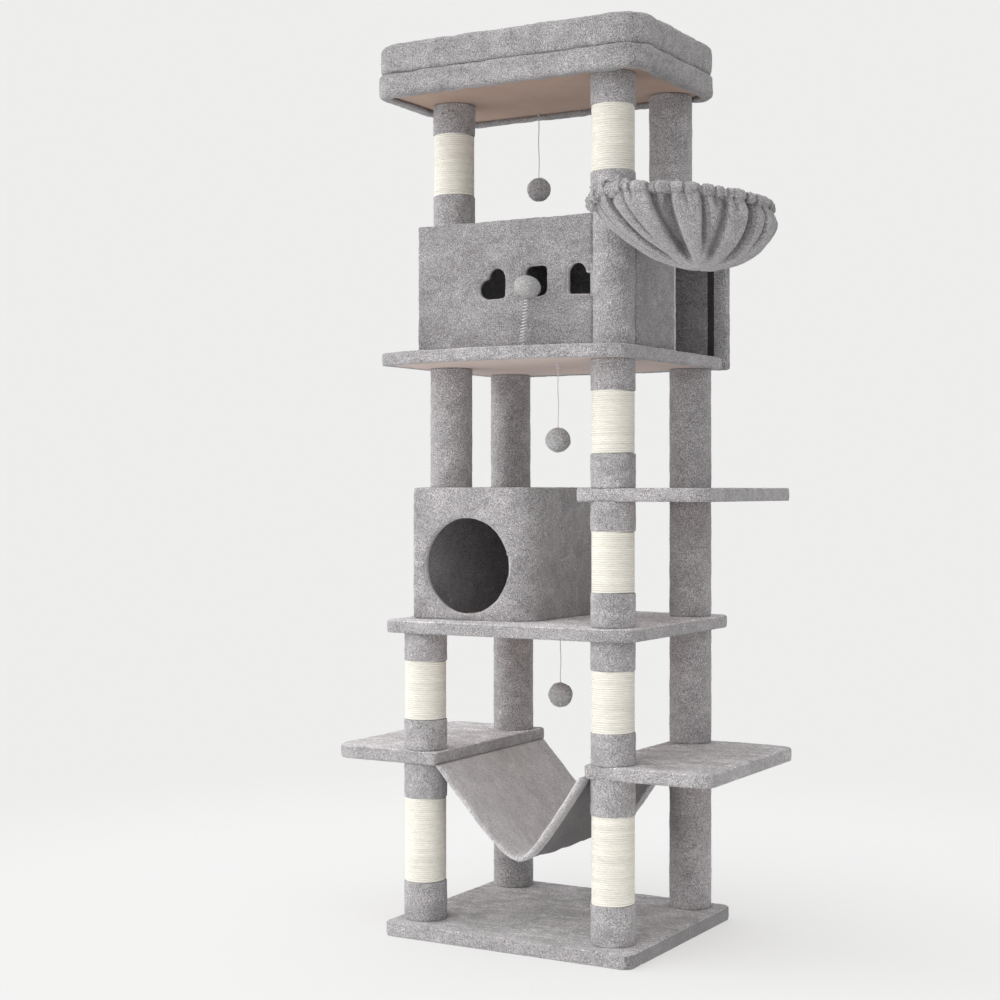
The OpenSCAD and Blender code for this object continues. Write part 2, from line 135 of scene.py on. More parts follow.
def mesh_of(name, bm):
    """A new mesh with what a bmesh holds, which is freed."""
    mesh = bpy.data.meshes.new(name)
    bm.to_mesh(mesh)
    bm.free()
    return mesh


def push_out(mesh, distance):
    """Moves each point along its normal, by one distance or by one for each point."""
    move_to(mesh, coordinates(mesh) + normals(mesh) * np.reshape(distance, (-1, 1)))


def add_piece(name, mesh, material, body, nodes):
    """A visible piece that rides on a body and stands for CAD nodes."""
    obj = new_object(name, mesh)
    mesh.materials.clear()
    mesh.materials.append(material)
    mesh.shade_smooth()
    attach(obj, body)
    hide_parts(*nodes)
    return obj


def paint(mesh, *choices):
    """Gives faces another material where a test of their centres and normals holds."""
    count = len(mesh.polygons)
    centres, ways = np.empty(count * 3), np.empty(count * 3)
    mesh.polygons.foreach_get("center", centres)
    mesh.polygons.foreach_get("normal", ways)
    centres, ways = centres.reshape(-1, 3), ways.reshape(-1, 3)
    index = np.empty(count, dtype=np.int32)
    mesh.polygons.foreach_get("material_index", index)
    for material, test in choices:
        mesh.materials.append(material)
        index[test(*centres.T, *ways.T)] = len(mesh.materials) - 1
    mesh.polygons.foreach_set("material_index", index)


def facing_out(mesh):
    """A closed mesh with its faces turned outwards."""
    bm = bmesh.new()
    bm.from_mesh(mesh)
    if bm.calc_volume(signed=True) < 0:
        bmesh.ops.reverse_faces(bm, faces=bm.faces)
    bm.to_mesh(mesh)
    bm.free()
    return mesh


def mesh_from(name, points, faces):
    mesh = bpy.data.meshes.new(name)
    mesh.from_pydata([tuple(p) for p in points], [], faces)
    mesh.validate()
    return facing_out(mesh)


def evaluated(mesh, *modifiers):
    """The mesh after modifiers, each a type and its settings."""
    obj = new_object("work", mesh)
    for kind, settings in modifiers:
        modifier = obj.modifiers.new(kind, kind)
        for key, value in settings.items():
            setattr(modifier, key, value)
    depsgraph = bpy.context.evaluated_depsgraph_get()
    result = bpy.data.meshes.new_from_object(obj.evaluated_get(depsgraph))
    bpy.data.objects.remove(obj)
    return result


def merged(nodes):
    """One mesh of the CAD nodes, in the row frame."""
    bm = bmesh.new()
    for node in nodes:
        source = frame["nodes"][node]
        copy = source.data.copy()
        copy.transform(source.matrix_world)
        bm.from_mesh(copy)
        bpy.data.meshes.remove(copy)
    bmesh.ops.remove_doubles(bm, verts=bm.verts, dist=1e-6)
    return mesh_of("merged", bm)


def softened(nodes, voxel, rounds):
    """The union of CAD nodes as even quads, its edges softened by that many rounds."""
    return evaluated(
        merged(nodes),
        ("REMESH", {"mode": "VOXEL", "voxel_size": voxel, "adaptivity": 0.0}),
        ("SMOOTH", {"factor": 0.5, "iterations": rounds}),
    )


def ruffle(mesh, seed, pile=0.5 * MM, wave=0.7 * MM):
    """Pushes a plush surface in and out by its pile and by the slack in the cloth."""
    p = coordinates(mesh)
    lift = pile * noise(p, 6 * MM, seed) + 0.6 * pile * noise(p, 3.2 * MM, seed + 1)
    lift = lift + wave * noise(p, 34 * MM, seed + 2) + 0.5 * wave * noise(p, 14 * MM, seed + 3)
    push_out(mesh, lift)


def islands(node):
    """Lowest and highest corner of each separate part of a CAD node."""
    source = frame["nodes"][node]
    bm = bmesh.new()
    bm.from_mesh(source.data)
    bmesh.ops.remove_doubles(bm, verts=bm.verts, dist=1e-5)
    unseen = set(bm.verts)
    boxes = []
    while unseen:
        todo = [unseen.pop()]
        found = []
        while todo:
            v = todo.pop()
            found.append(source.matrix_world @ v.co)
            for e in v.link_edges:
                other = e.other_vert(v)
                if other in unseen:
                    unseen.discard(other)
                    todo.append(other)
        c = np.array(found)
        boxes.append((c.min(axis=0), c.max(axis=0)))
    bm.free()
    return sorted(boxes, key=lambda b: tuple(np.round(np.concatenate(b), 4)))


def beyond(angle, at):
    """How far an angle is past another one, from minus half a turn to half a turn."""
    return (angle - at + math.pi) % (2 * math.pi) - math.pi


def end_caps(sides, rings):
    """Faces that close both ends of a tube of that many rings."""
    last = (rings - 1) * sides
    return [tuple(range(sides)), tuple(last + i for i in reversed(range(sides)))]


def grid_faces(rows, columns, closed_columns, start=0, flip=False):
    """Quads between the points of a grid that is stored row by row."""
    faces = []
    for r in range(rows - 1):
        for c in range(columns if closed_columns else columns - 1):
            d = (c + 1) % columns
            q = [start + r * columns + c, start + r * columns + d, start + (r + 1) * columns + d]
            q.append(start + (r + 1) * columns + c)
            faces.append(tuple(reversed(q)) if flip else tuple(q))
    return faces


# Materials


class Shader:
    """A Principled material whose patterns come from points in the row frame."""

    def __init__(self, name, roughness, **settings):
        self.material = bpy.data.materials.new(name)
        self.material.use_nodes = True
        self.tree = self.material.node_tree
        self.bsdf = self.tree.nodes["Principled BSDF"]
        self.bsdf.inputs["Roughness"].default_value = roughness
        for key, value in settings.items():
            self.bsdf.inputs[key.replace("_", " ")].default_value = value
        self.points = self.tree.nodes.new("ShaderNodeTexCoord").outputs["Object"]

    def node(self, kind, inputs=None, **settings):
        node = self.tree.nodes.new(kind)
        for key, value in settings.items():
            setattr(node, key, value)
        for key, value in (inputs or {}).items():
            if hasattr(value, "is_output"):
                self.tree.links.new(value, node.inputs[key])
            else:
                node.inputs[key].default_value = value
        return node

    def stretched(self, scale, turn=(0, 0, 0)):
        """The points with a pattern's cells made smaller by scale along each axis."""
        inputs = {"Vector": self.points, "Scale": scale, "Rotation": turn}
        return self.node("ShaderNodeMapping", inputs).outputs[0]

    def cells(self, scale, detail=3.0, rough=0.55, distortion=0.0, at=None):
        """Noise with that many cells to the metre."""
        inputs = {
            "Vector": at or self.points,
            "Scale": scale,
            "Detail": detail,
            "Roughness": rough,
            "Distortion": distortion,
        }
        return self.node("ShaderNodeTexNoise", inputs).outputs["Fac"]

    def maths(self, operation, a, b):
        return self.node("ShaderNodeMath", {0: a, 1: b}, operation=operation).outputs[0]

    def span(self, value, low, high):
        """value, which runs from about 0.3 to 0.7, mapped to low..high."""
        inputs = {"Value": value, "From Min": 0.3, "From Max": 0.7, "To Min": low, "To Max": high}
        return self.node("ShaderNodeMapRange", inputs).outputs["Result"]

    def swing(self, value, amount):
        """value mapped to as much below and above 1."""
        return self.span(value, 1 - amount, 1 + amount)

    def shade(self, colour, *factors):
        """Sets the base colour to colour times each of the factors."""
        out = self.node("ShaderNodeRGB").outputs[0]
        out.default_value = (*colour, 1)
        for factor in factors:
            channels = {"Red": factor, "Green": factor, "Blue": factor}
            grey = self.node("ShaderNodeCombineColor", channels).outputs[0]
            inputs = {"Factor": 1.0, "A": out, "B": grey}
            mix = self.node("ShaderNodeMix", inputs, data_type="RGBA", blend_type="MULTIPLY")
            out = mix.outputs["Result"]
        self.tree.links.new(out, self.bsdf.inputs["Base Color"])

    def bump(self, height, depth, strength=1.0):
        inputs = {"Height": height, "Distance": depth, "Strength": strength}
        out = self.node("ShaderNodeBump", inputs).outputs[0]
        self.tree.links.new(out, self.bsdf.inputs["Normal"])


def plush_material(name, colour, contrast=1.0, sheen=0.35, brushing=1.0, tufting=0.8):
    """Short pile: broad clouds, brushed streaks, tufts, and a speckle of curls and fibres."""
    s = Shader(name, 1.0, Sheen_Weight=sheen, Sheen_Roughness=0.4, Specular_IOR_Level=0.1)
    clouds = s.swing(s.cells(17, 4, 0.6, 0.8), 0.10 * brushing)
    streaks = s.cells(8, 4, 0.6, 1.4, s.stretched((1, 3.2, 3.2), (0.4, 0.2, 0.7)))
    brushed = s.swing(streaks, 0.10 * brushing)
    tufts = s.swing(s.cells(95, 3, 0.65), 0.10 * tufting)
    curls = s.swing(s.cells(330, 2, 0.6), 0.22 * contrast)
    fibres = s.swing(s.cells(600, 2, 0.7), 0.52 * contrast)
    s.shade(colour, clouds, brushed, tufts, curls, fibres)
    pile = s.maths("ADD", s.cells(620, 2, 0.7), s.maths("MULTIPLY", s.cells(170, 3, 0.65), 2.0))
    s.bump(pile, 2.6 * MM, 0.9)
    return s.material


def sisal_material():
    """Pale fibres along each turn of the rope, and turns that differ a little."""
    s = Shader("sisal_rope", 0.9, Sheen_Weight=0.15, Specular_IOR_Level=0.25)
    fibre = s.cells(34, 4, 0.65, 0.2, s.stretched((1, 1, 22)))
    turns = s.span(s.cells(6, 2, 0.5, 0.0, s.stretched((0.4, 0.4, 34))), 0.93, 1.05)
    grain = s.span(s.cells(420, 2), 0.93, 1.06)
    s.shade((0.86, 0.833, 0.755), s.span(fibre, 0.86, 1.08), turns, grain)
    s.bump(s.maths("ADD", fibre, s.cells(900, 2, 0.6)), 0.8 * MM, 0.8)
    return s.material


def board_material(name, colour):
    s = Shader(name, 0.78, Specular_IOR_Level=0.3)
    chips = s.cells(160, 4, 0.7, 0.4, s.stretched((1, 1.7, 1)))
    stains = s.swing(s.cells(14, 3), 0.05)
    grit = s.swing(s.cells(900, 2), 0.05)
    s.shade(colour, s.span(chips, 0.88, 1.1), stains, grit)
    s.bump(s.cells(420, 3, 0.6), 0.3 * MM, 0.5)
    return s.material


def card_material():
    s = Shader("card_tube", 0.85, Specular_IOR_Level=0.25)
    fibre = s.cells(120, 4, 0.6, 0.0, s.stretched((1, 1, 5)))
    s.shade((0.46, 0.35, 0.23), s.span(fibre, 0.88, 1.1), s.swing(s.cells(12, 2), 0.05))
    s.bump(fibre, 0.3 * MM, 0.5)
    return s.material


def steel_material(name, colour, roughness):
    s = Shader(name, roughness, Metallic=1.0)
    drawn = s.cells(300, 3, 0.6, 0.0, s.stretched((1, 1, 6)))
    s.shade(colour, s.span(drawn, 0.92, 1.06))
    s.bump(s.cells(800, 2, 0.5, 0.0, s.stretched((1, 1, 8))), 0.05 * MM, 0.4)
    return s.material


def string_material():
    s = Shader("cotton_string", 0.9, Sheen_Weight=0.3)
    strands = s.cells(700, 2, 0.6, 0.0, s.stretched((1, 1, 0.4), (0.5, 0, 0)))
    s.shade((0.74, 0.73, 0.70), s.span(strands, 0.75, 1.1))
    s.bump(s.cells(900, 2), 0.3 * MM, 0.8)
    return s.material


PLUSH_GREY = (0.378, 0.364, 0.369)


def tinted(amount):
    """The plush's grey made lighter or darker by that amount; many copies below are painted light
    and painted shade.
    """
    return tuple(c * amount for c in PLUSH_GREY)


plush = plush_material("plush_short_pile", tinted(1.13), 1.6, brushing=1.4)
# Painted light: the shelf tops get lighter copies of the plush, and the left shelf and floor_2 get
# the lightest
painted_brighter_top_plush = plush_material(
    "plush_with_brighter_painted_light_on_top", tinted(1.85), 1.8, brushing=2.0, tufting=1.9
)
painted_light_top_plush = plush_material("plush_with_painted_light_on_top", tinted(1.4), 1.9, brushing=2.3, tufting=2.2)
# Painted shade: a darker copy of the plush for the upper house's walls
painted_shade_wall_plush = plush_material("plush_with_painted_shade_on_walls", tinted(0.90), 1.5, brushing=1.6)
plush_bed = plush_material("plush_bed", tinted(1.0), 1.6, brushing=1.4)
# Painted shade: a darker copy of the plush for the base's right-facing sides
painted_shade_side_plush = plush_material("plush_with_painted_shade_on_sides", tinted(0.68), 1.4)
# Painted shade: a darker copy of the plush for the hammock's underside
plush_shade = plush_material("plush_with_painted_shade_underneath", tinted(0.48), 1.2)
# Painted shade: a near-black copy of the plush for the upper house's inner back corner
painted_corner_shade_plush = plush_material("plush_with_painted_shade_in_corner", tinted(0.12), 0.5)
# Painted light: a much lighter copy of the plush for the hammock's sling
painted_light_sling_plush = plush_material("painted_light_sling_plush", tinted(1.75), 0.9)
# Painted light: a lighter copy of the plush for the cut edges of the windows and door, and the
# hammock's hems
painted_light_edge_plush = plush_material("plush_with_painted_light_on_edges", tinted(1.6), 1.1)
# Painted highlight on the upper house's right wall edge
painted_highlight_fringe_plush = plush_material("plush_lit_fringe", tinted(2.0), 0.9)
plush_soft = plush_material("plush_bag_cloth", tinted(1.04), 1.4, 0.45)
# Painted shade: darker copies of the bag's plush in its folds and creases
plush_fold = plush_material("plush_bag_with_painted_fold_shade", tinted(0.76), 1.4, 0.45)
plush_deep_fold = plush_material("plush_bag_with_painted_deep_fold_shade", tinted(0.52), 1.2, 0.45)
sisal = sisal_material()
board = board_material("fibreboard", (0.52, 0.395, 0.335))
# Painted shade and light: a darker copy of the fibreboard under the bed, and a paler one under
# floor_4
painted_shade_board_of_bed = board_material("fibreboard_with_painted_shade_under_bed", (0.47, 0.34, 0.275))
painted_light_board_of_floor_4 = board_material("fibreboard_with_painted_light_under_floor_4", (0.62, 0.51, 0.465))
# Painted shade: a darker copy of the fibreboard inside the houses
board_in_painted_shade = board_material("fibreboard_inside", (0.50, 0.36, 0.25))
# The bed's and floor_4's boards, with painted shade and painted light
BOARDS = {"bed_board": painted_shade_board_of_bed, "floor_4_board": painted_light_board_of_floor_4}
NODE_MATERIALS = {
    "plush": plush,
    "sisal": sisal,
    "board": board,
    "cardboard": card_material(),
    "steel": steel_material("zinc_plated_steel", (0.62, 0.62, 0.63), 0.34),
    "string": string_material(),
    "pompom": plush_material("pompom_yarn", (0.47, 0.465, 0.468), 1.3, 0.3),
    "spring": steel_material("spring_wire", (0.72, 0.72, 0.73), 0.3),
    "spring_ball": plush_material("spring_ball_plush", (0.42, 0.415, 0.41), 1.1, 0.4),
}


def dress_nodes():
    """Materials for the CAD nodes that stay visible."""
    for part in frame["record"]["subparts"]:
        node = part["node"]
        material = NODE_MATERIALS[part["material_slot"]]
        if material is board:
            # Painted shade inside the houses, and painted shade and light on the bed's and
            # floor_4's boards
            material = board_in_painted_shade if node.startswith("house") else BOARDS.get(node, board)
        materials = frame["nodes"][node].data.materials
        materials.clear()
        materials.append(material)


# Shelves: plush slabs over their boards, whose undersides stay bare

SHELVES = ["base", "left_shelf", "right_shelf", "floor_2", "perch", "floor_4"]
# Shelves whose tops get the brightest painted light
BRIGHTER_PAINTED_TOPS = ["left_shelf", "floor_2"]
# How wide the cover is turned under the board, how far it hangs below the board there, and how
# far it steps up from there into the board
TURNED_UNDER = 18 * MM
LIP, RISE = 0.8 * MM, 4.2 * MM
BASE_LIP, BASE_RISE = 0.2 * MM, 1.0 * MM


def tuck_under(mesh, low, lip, rise):
    """Turns the cover under the board along its edge, and leaves the board's middle bare."""
    p = coordinates(mesh)
    n = normals(mesh)
    edge = np.flatnonzero((np.abs(n[:, 2]) < 0.5) & (p[:, 2] < low + 16 * MM))
    tree = KDTree(len(edge))
    for k, i in enumerate(edge):
        tree.insert((p[i, 0], p[i, 1], 0), k)
    tree.balance()
    for i in np.flatnonzero((p[:, 2] < low + 3 * MM) & (n[:, 2] < -0.5)):
        uneven = 1.5 * MM * math.sin(p[i, 0] * 210) * math.sin(p[i, 1] * 170)
        inward = tree.find((p[i, 0], p[i, 1], 0))[2] - TURNED_UNDER + uneven
        p[i, 2] = low - lip + rise * min(max(inward / (4 * MM), 0), 1)
    move_to(mesh, p)


def add_shelf(name, seed):
    mesh = softened([name + "_cover", name + "_board"], 4 * MM, 5)
    ruffle(mesh, seed)
    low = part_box(name + "_board")[0][2]
    if name == "base":
        tuck_under(mesh, low, BASE_LIP, BASE_RISE)
    else:
        tuck_under(mesh, low, LIP, RISE)
    add_piece(name + "_plush", mesh, plush, "tree", [name + "_cover"])
    # Painted light: each shelf's top is a lighter copy of the plush
    top = painted_brighter_top_plush if name in BRIGHTER_PAINTED_TOPS else painted_light_top_plush
    paint(mesh, (top, lambda x, y, z, nx, ny, nz: nz > 0.6))
    if name == "base":
        # Painted shade on the base's right-facing sides
        paint(mesh, (painted_shade_side_plush, lambda x, y, z, nx, ny, nz: (nx > 0.5) & (nz < 0.6)))


# Houses: plush outside, round the cut edges and inside, with the wall boards within it

HOUSE_BOARDS = ["front", "right", "back", "left", "roof"]
# The door and the windows lie between this left, right, bottom and top of the front wall
CUT_AREA = {"house_1": (-0.256, -0.032, 0.694, 0.918), "house_2": (-0.160, 0.200, 1.370, 1.462)}
# The upper house's open corner: the right wall's outside and its end, the back wall's face, and
# the dark line of painted shade on it, with no gap cut there
RIGHT_WALL = 270 * MM
ENTRANCE_Y = 24 * MM
BACK_Y = 220 * MM
CORNER_SHADE_LEFT, CORNER_SHADE_RIGHT = 247 * MM, 261 * MM


def add_house(name, seed):
    boards = [f"{name}_{b}" for b in HOUSE_BOARDS]
    mesh = softened([name + "_cover"] + boards, 4 * MM, 4)
    ruffle(mesh, seed)
    push_out(mesh, 1.3 * MM)
    # The upper house gets a darker copy of the plush: painted shade
    wall = plush if name == "house_1" else painted_shade_wall_plush
    add_piece(name + "_plush", mesh, wall, "tree", [name + "_cover"])
    low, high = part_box(name + "_cover")
    front_y = low[1]
    inset = 20 * MM
    under_roof = high[2] - inset
    left, right, bottom, top = CUT_AREA[name]

    def cut_edge(x, y, z, nx, ny, nz):
        """The edges of the windows and of the round door, which are cut through the front wall;
        they get painted light.
        """
        within = (x > left) & (x < right) & (z > bottom) & (z < top)
        return within & (np.abs(ny) < 0.93) & (y > front_y + MM) & (y < front_y + 13 * MM)

    def side_edge(x, y, z, nx, ny, nz):
        """The outer side of the right wall's upright edge, beside the open back corner, which gets
        a painted highlight.
        """
        beside = (y > ENTRANCE_Y - 10 * MM) & (y < ENTRANCE_Y + 8 * MM)
        return beside & (nx > 0.35) & (x > RIGHT_WALL - inset) & (z < under_roof)

    def back_end(x, y, z, nx, ny, nz):
        """The end of the back wall past the dark line, painted with the lighter plain plush as
        painted light.
        """
        return (x > CORNER_SHADE_RIGHT) & (ny < -0.3) & (y > BACK_Y)

    def in_corner_shade_strip(x, y, z, nx, ny, nz):
        """The dark upright line at the back wall's inner corner, which is painted shade."""
        return (x > CORNER_SHADE_LEFT) & (x < CORNER_SHADE_RIGHT) & (ny < -0.3) & (y > BACK_Y) & (z < under_roof)

    # Painted light on the cut edges
    paint(mesh, (painted_light_edge_plush, cut_edge))
    if name == "house_2":
        # Painted highlight on the right wall's edge, painted light on the back wall's end, and
        # painted shade in its inner corner
        paint(mesh, (painted_highlight_fringe_plush, side_edge), (plush, back_end), (painted_corner_shade_plush, in_corner_shade_strip))


# Posts: plush sleeves and wound sisal


SLEEVE_CLOTH = 6 * MM
SLEEVE_ROLL = 3 * MM
SLEEVE_STEP = 2.6 * MM
SLEEVE_SIDES = 150
SEAM_AT, SEAM_ON = 125, 17  # degrees of the first sleeve's seam, and how far on the next one's is
SEAM_DEPTH, SEAM_WIDTH = 1.6 * MM, 1.8 * MM


def sleeve_profile(inner, outer, bottom, top):
    """Radius and height of the points up a sleeve's section, whose outer edges are rolled."""
    flat = outer - SLEEVE_ROLL
    bend = [math.radians(a) for a in (30, 60)]
    rolled = [(flat + SLEEVE_ROLL * math.sin(a), SLEEVE_ROLL * math.cos(a)) for a in bend]
    low, high = bottom + SLEEVE_ROLL, top - SLEEVE_ROLL
    steps = max(6, round((high - low) / SLEEVE_STEP))
    profile = [(inner, bottom), (flat, bottom)]
    profile += [(r, low - drop) for r, drop in rolled]
    profile += [(outer, low + (high - low) * i / steps) for i in range(steps + 1)]
    profile += [(r, high + rise) for r, rise in reversed(rolled)]
    profile += [(flat, top), (inner, top)]
    return np.array(profile)


def add_sleeves(storey):
    """Each sleeve is a tube with soft rolled ends, a seam at the back and a little slack."""
    points, faces = [], []
    node = f"sleeves_{storey}"
    for k, (low, high) in enumerate(islands(node)):
        cx, cy = (low[:2] + high[:2]) / 2
        outer = (high[0] - low[0]) / 2
        inner = outer - SLEEVE_CLOTH
        profile = sleeve_profile(inner, outer, low[2], high[2])
        rows = len(profile)
        r, z = np.repeat(profile, SLEEVE_SIDES, axis=0).T
        a = np.tile(np.arange(SLEEVE_SIDES) / SLEEVE_SIDES * 2 * math.pi, rows)
        shell = r > inner + MM
        ring = np.stack([np.cos(a) * outer, np.sin(a) * outer, z + 3 * k], axis=1)
        pile = 0.5 * MM * noise(ring, 6 * MM, 11 * storey)
        pile = pile + 0.35 * MM * noise(ring, 3 * MM, 7 * storey)
        slack = 0.6 * MM * noise(ring, 28 * MM, 5 * storey)
        seam_off = beyond(a, math.radians(SEAM_AT + SEAM_ON * k)) * outer
        seam = SEAM_DEPTH * np.exp(-((seam_off / SEAM_WIDTH) ** 2))
        r = np.where(shell, r + pile + slack - seam, r)
        end_wave = 0.9 * MM * noise(ring * [1, 1, 0], 9 * MM, 3 * storey + k)
        free_end = (z - low[2] < SLEEVE_ROLL) | (high[2] - z < SLEEVE_ROLL)
        z = np.where(free_end & shell, np.clip(z + end_wave, low[2], high[2]), z)
        first = len(points)
        last = first + (rows - 1) * SLEEVE_SIDES
        points.extend(np.stack([cx + r * np.cos(a), cy + r * np.sin(a), z], axis=1))
        faces += grid_faces(rows, SLEEVE_SIDES, True, first)
        for i in range(SLEEVE_SIDES):
            beside = (i + 1) % SLEEVE_SIDES
            faces.append((first + beside, first + i, last + i, last + beside))
    mesh = mesh_from(node + "_plush", points, faces)
    add_piece(node + "_plush", mesh, plush, "tree", [node])


ROPE = 4.7 * MM
ROPE_PITCH = ROPE * 0.97
ROPE_STRAND = 2.4 * MM
ROPE_TUCK = 3.4 * MM
ROPE_SIDES = 9
ROPE_STEPS = 84  # to a turn


def rope_points(low, high, k, storey):
    """Rings of points along a rope that is wound from the bottom to the top of a band."""
    cx, cy = (low[:2] + high[:2]) / 2
    centre = (high[0] - low[0]) / 2 - ROPE / 2 + 0.3 * MM
    length = high[2] - low[2] + 0.4 * ROPE
    total = round(length / ROPE_PITCH) * ROPE_STEPS
    s = np.arange(total + 1)
    a = s / ROPE_STEPS * 2 * math.pi + k
    z = low[2] - 0.2 * ROPE + length * s / total
    tuck = ROPE_TUCK * np.clip(1 - np.minimum(s, total - s) / (ROPE_STEPS / 5), 0, 1)
    along = s / ROPE_STEPS * 2 * math.pi * centre
    wobble = noise(np.stack([along, z * 0, z * 0 + 40 * k], axis=1), 30 * MM, storey)[:, None]
    phi = np.arange(ROPE_SIDES) / ROPE_SIDES * 2 * math.pi
    twist = np.cos(2 * (phi[None, :] - along[:, None] / ROPE_STRAND))
    radius = ROPE / 2 * (1.02 + 0.07 * twist) + 0.12 * MM * wobble
    out = centre - tuck[:, None] + radius * np.cos(phi)[None, :] + 0.15 * MM * wobble
    up = z[:, None] + radius * np.sin(phi)[None, :]
    ring = [cx + out * np.cos(a)[:, None], cy + out * np.sin(a)[:, None], up]
    return np.stack(ring, axis=2).reshape(-1, 3)


def add_sisal(storey):
    """Sisal rope wound closely round each tube, its ends tucked under the outermost turns."""
    points, faces = [], []
    node = f"sisal_{storey}"
    for k, (low, high) in enumerate(islands(node)):
        rope = rope_points(low, high, k, storey)
        rings = len(rope) // ROPE_SIDES
        first = len(points)
        points.extend(rope)
        faces += grid_faces(rings, ROPE_SIDES, True, first, flip=True)
        faces += [tuple(first + i for i in cap) for cap in end_caps(ROPE_SIDES, rings)]
    mesh = mesh_from(node + "_rope", points, faces)
    add_piece(node + "_rope", mesh, sisal, "tree", [node])


# Toys: pompoms on strings, and a plush ball on a coil spring


def fuzzy_ball(name, centre, radii, turn, fuzz, seed, rounds=6):
    """An uneven ball with those radii, turned by an angle about an axis."""
    bm = bmesh.new()
    bmesh.ops.create_icosphere(bm, subdivisions=rounds, radius=1.0)
    mesh = mesh_of(name, bm)
    p = coordinates(mesh)
    size = min(radii)
    lift = fuzz * noise(p * size, 2.6 * MM, seed) + 0.8 * fuzz * noise(p * size, 5 * MM, seed + 1)
    lift = lift + 1.2 * fuzz * noise(p * size, 16 * MM, seed + 2)
    p = p * (np.array(radii) + lift[:, None])
    rotation = np.array(Matrix.Rotation(turn[0], 3, Vector(turn[1])))
    move_to(mesh, p @ rotation.T + np.array(centre))
    return mesh


STRING_POINTS = 26
STRING_SLACK = 0.7 * MM


def string_path(top, foot, n):
    """Points down a string that hangs almost straight, a little differently for each pompom."""
    path = []
    for i in range(STRING_POINTS):
        t = i / (STRING_POINTS - 1)
        slack = STRING_SLACK * math.sin(math.pi * t)
        z = top[2] + (foot - top[2]) * t
        path.append((top[0] + slack * math.sin(9 * t + n), top[1] + slack * math.cos(7 * t + n), z))
    return path


def string_curve(name, path):
    data = bpy.data.curves.new(name, "CURVE")
    data.dimensions = "3D"
    data.bevel_depth = 1.0 * MM
    data.bevel_resolution = 3
    data.use_fill_caps = True
    spline = data.splines.new("POLY")
    spline.points.add(len(path) - 1)
    for point, at in zip(spline.points, path):
        point.co = (*at, 1)
    data.materials.append(NODE_MATERIALS["string"])
    return new_object(name, data)


def add_pompom(n):
    body = f"pompom_{n}"
    low, high = np.array(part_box(body))
    centre = (low + high) / 2
    radius = (high[0] - low[0]) / 2
    mesh = fuzzy_ball(body + "_yarn", centre, [radius] * 3, (0, (0, 0, 1)), 0.8 * MM, 40 + n)
    ball = add_piece(body + "_yarn", mesh, NODE_MATERIALS["pompom"], body, [body])
    node = f"toy_string_{n}"
    string_low, string_high = np.array(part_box(node))
    path = string_path((centre[0], centre[1], string_high[2]), string_low[2] - 2 * MM, n)
    string = string_curve(node + "_cotton", path)
    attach(string, body)
    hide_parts(node)


SPRING_FOOT = (45 * MM, -255 * MM)
SPRING_TURNS = 15
SPRING_COIL = 5.6 * MM
SPRING_WIRE = 1.15 * MM
SPRING_STEPS = 22  # to a turn
SPRING_SIDES = 8


def coil_mesh(name, start, end):
    """A close coil of wire, a little narrower at its foot."""
    points = []
    up = np.array([0, 0, 1])
    steps = SPRING_STEPS * SPRING_TURNS
    for i in range(steps + 1):
        t = i / steps
        a = 2 * math.pi * SPRING_TURNS * t
        out = np.array([math.cos(a), math.sin(a), 0])
        centre = start + (end - start) * t + SPRING_COIL * min(1.0, 0.75 + 4 * t) * out
        for j in range(SPRING_SIDES):
            b = 2 * math.pi * j / SPRING_SIDES
            points.append(centre + SPRING_WIRE * (math.cos(b) * out + math.sin(b) * up))
    faces = grid_faces(steps + 1, SPRING_SIDES, True, flip=True)
    return mesh_from(name, points, faces + end_caps(SPRING_SIDES, steps + 1))


def add_spring_toy():
    ball_low, ball_high = np.array(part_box("spring_ball"))
    ball = (ball_low + ball_high) / 2
    radius = (ball_high[0] - ball_low[0]) / 2
    radii = [radius * 1.12, radius * 0.97, radius * 0.9]
    lean = (math.radians(20), (-0.5, 0.87, 0))
    mesh = fuzzy_ball("spring_ball_plush", ball, radii, lean, 0.4 * MM, 61)
    material = NODE_MATERIALS["spring_ball"]
    add_piece("spring_ball_plush", mesh, material, "spring_ball", ["spring_ball"])
    start = np.array([*SPRING_FOOT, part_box("toy_spring")[0][2] + SPRING_WIRE])
    end = np.array([ball[0], ball[1], ball[2] - radius * 0.8])
    mesh = coil_mesh("toy_spring_coil", start, end)
    mesh.materials.append(NODE_MATERIALS["spring"])
    mesh.shade_smooth()
    coil = new_object("toy_spring_coil", mesh)
    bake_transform(coil)
    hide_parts("toy_spring")


# Hammock: one sling of plush between the shelves, hemmed at the front and back

HAMMOCK_ENDS = np.array([-184, 174]) * MM
HAMMOCK_LOW = np.array([22, 188]) * MM
HAMMOCK_ROUND = 40 * MM
HAMMOCK_CLOTH = 3.4 * MM
HAMMOCK_HEM = 42 * MM
HEM_LAYERS = 1.7
HEM_ROUND = 7 * MM
STITCH_DEPTH, STITCH_WIDTH = 2.4 * MM, 2.6 * MM
HAMMOCK_ROWS, HAMMOCK_COLUMNS = 150, 190


def sling_height(x, top):
    """Height of the V at x: two straight sides with a round between them."""
    end = np.where(x < HAMMOCK_LOW[0], HAMMOCK_ENDS[0], HAMMOCK_ENDS[1])
    rise = top - HAMMOCK_LOW[1]
    t = (x - HAMMOCK_LOW[0]) / (end - HAMMOCK_LOW[0])
    c = HAMMOCK_ROUND / rise
    return HAMMOCK_LOW[1] + rise * (np.sqrt(t * t + c * c) - c) / (math.sqrt(1 + c * c) - c)


